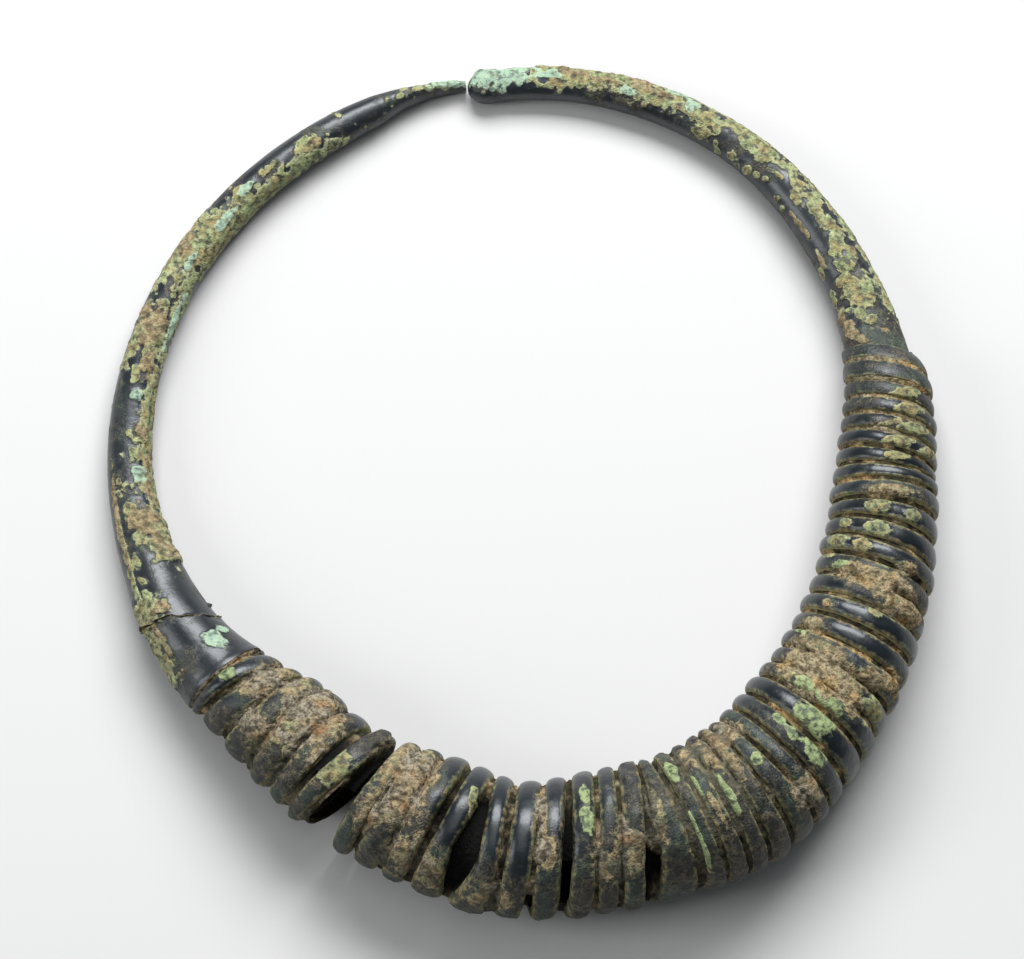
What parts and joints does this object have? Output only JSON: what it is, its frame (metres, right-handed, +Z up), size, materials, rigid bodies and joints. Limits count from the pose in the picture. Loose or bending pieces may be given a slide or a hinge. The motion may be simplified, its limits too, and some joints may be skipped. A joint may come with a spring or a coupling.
{
  "type": "bronze torc",
  "caption": "Open neck ring of patinated bronze: a thick front wound from a half-round strip between two plain stems that taper to the closure.",
  "frame": {"origin": "on the surface the torc lies on, under the middle of its bounding box", "axes": "+Z up through the ring, +X towards the right-hand stem, -Y towards the middle of the wound front, +Y towards the closure"},
  "size_m": [0.1756, 0.1894, 0.0309],
  "materials": {
    "left_stem_patina": "bronze under a smooth dark patina, mottled with yellow-green corrosion and tan earth",
    "collar_patina": "bronze under a glossy blue-black patina with a mint-green spot",
    "left_winding_patina": "bronze under a dark patina, crusted with tan earth",
    "right_winding_patina": "bronze under a glossy blue-black patina with olive and ochre corrosion in the grooves",
    "right_stem_patina": "bronze under a dark patina, thickly spotted with yellow-green corrosion and turquoise at the tip"
  },
  "bodies": {
    "root": {"left_stem": "left_stem_patina", "collar": "collar_patina", "left_winding": "left_winding_patina", "right_winding": "right_winding_patina", "right_stem": "right_stem_patina"}
  },
  "joints": []
}
